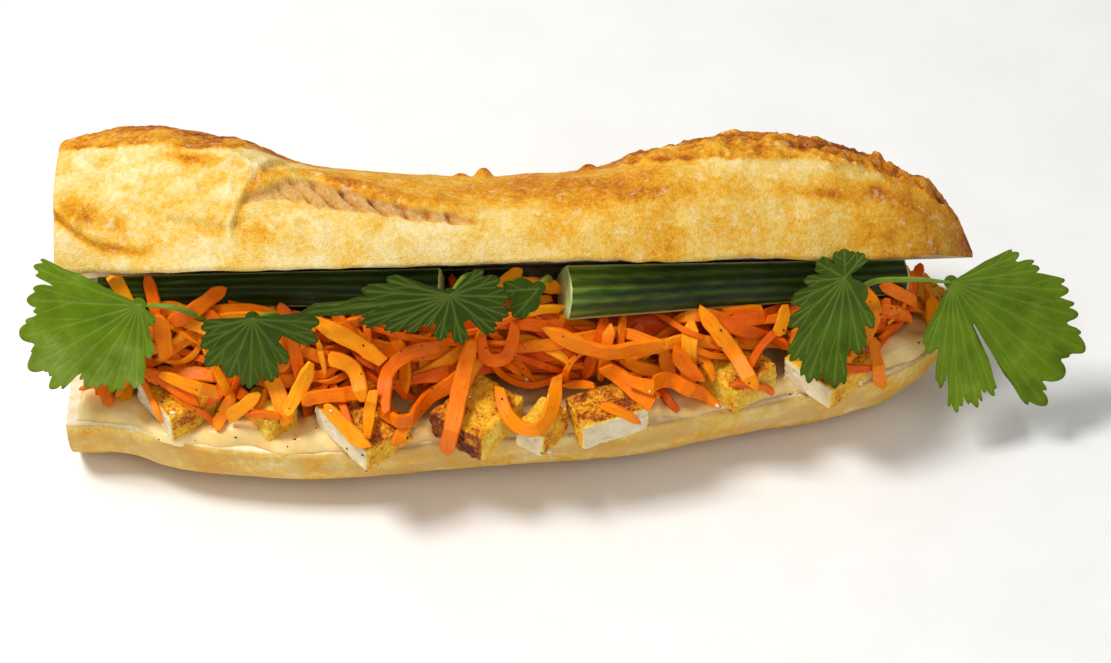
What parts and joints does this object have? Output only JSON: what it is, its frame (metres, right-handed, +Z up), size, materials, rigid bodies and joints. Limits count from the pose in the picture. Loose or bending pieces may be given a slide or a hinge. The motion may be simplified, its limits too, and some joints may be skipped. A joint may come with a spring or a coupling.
{
  "type": "banh mi sandwich",
  "caption": "Vietnamese baguette sandwich, split and held open by shredded carrot, cucumber sticks, seared tofu, mayonnaise and coriander.",
  "frame": {"origin": "on the flat base the sandwich rests on, under the middle of the loaf's length and just inside its open side", "axes": "+X along the loaf from its cut end to its pointed end, -Y towards the open side where the filling shows, +Z up"},
  "size_m": [0.2598, 0.092, 0.0783],
  "materials": {
    "crust": "matte baked crust, floury and pale on the sides and browned on the crests",
    "tofu": "seared golden skin over white cut sides",
    "spread": "soft sheen",
    "cucumber": "waxy dark green skin with pale cut flesh",
    "leaf": "soft leaf with fine veins",
    "carrot": "moist orange shreds"
  },
  "bodies": {
    "root": {"loaf": "crust", "tofu_1": "tofu", "tofu_2": "tofu", "tofu_3": "tofu", "tofu_4": "tofu", "tofu_5": "tofu", "tofu_6": "tofu", "tofu_7": "tofu", "tofu_8": "tofu", "tofu_9": "tofu", "mayonnaise": "spread", "cucumber_1": "cucumber", "cucumber_2": "cucumber", "cucumber_3": "cucumber", "coriander_1": "leaf", "coriander_2": "leaf", "coriander_3": "leaf", "coriander_4": "leaf", "coriander_5": "leaf", "coriander_6": "leaf", "carrot_heap": "carrot"}
  },
  "joints": []
}
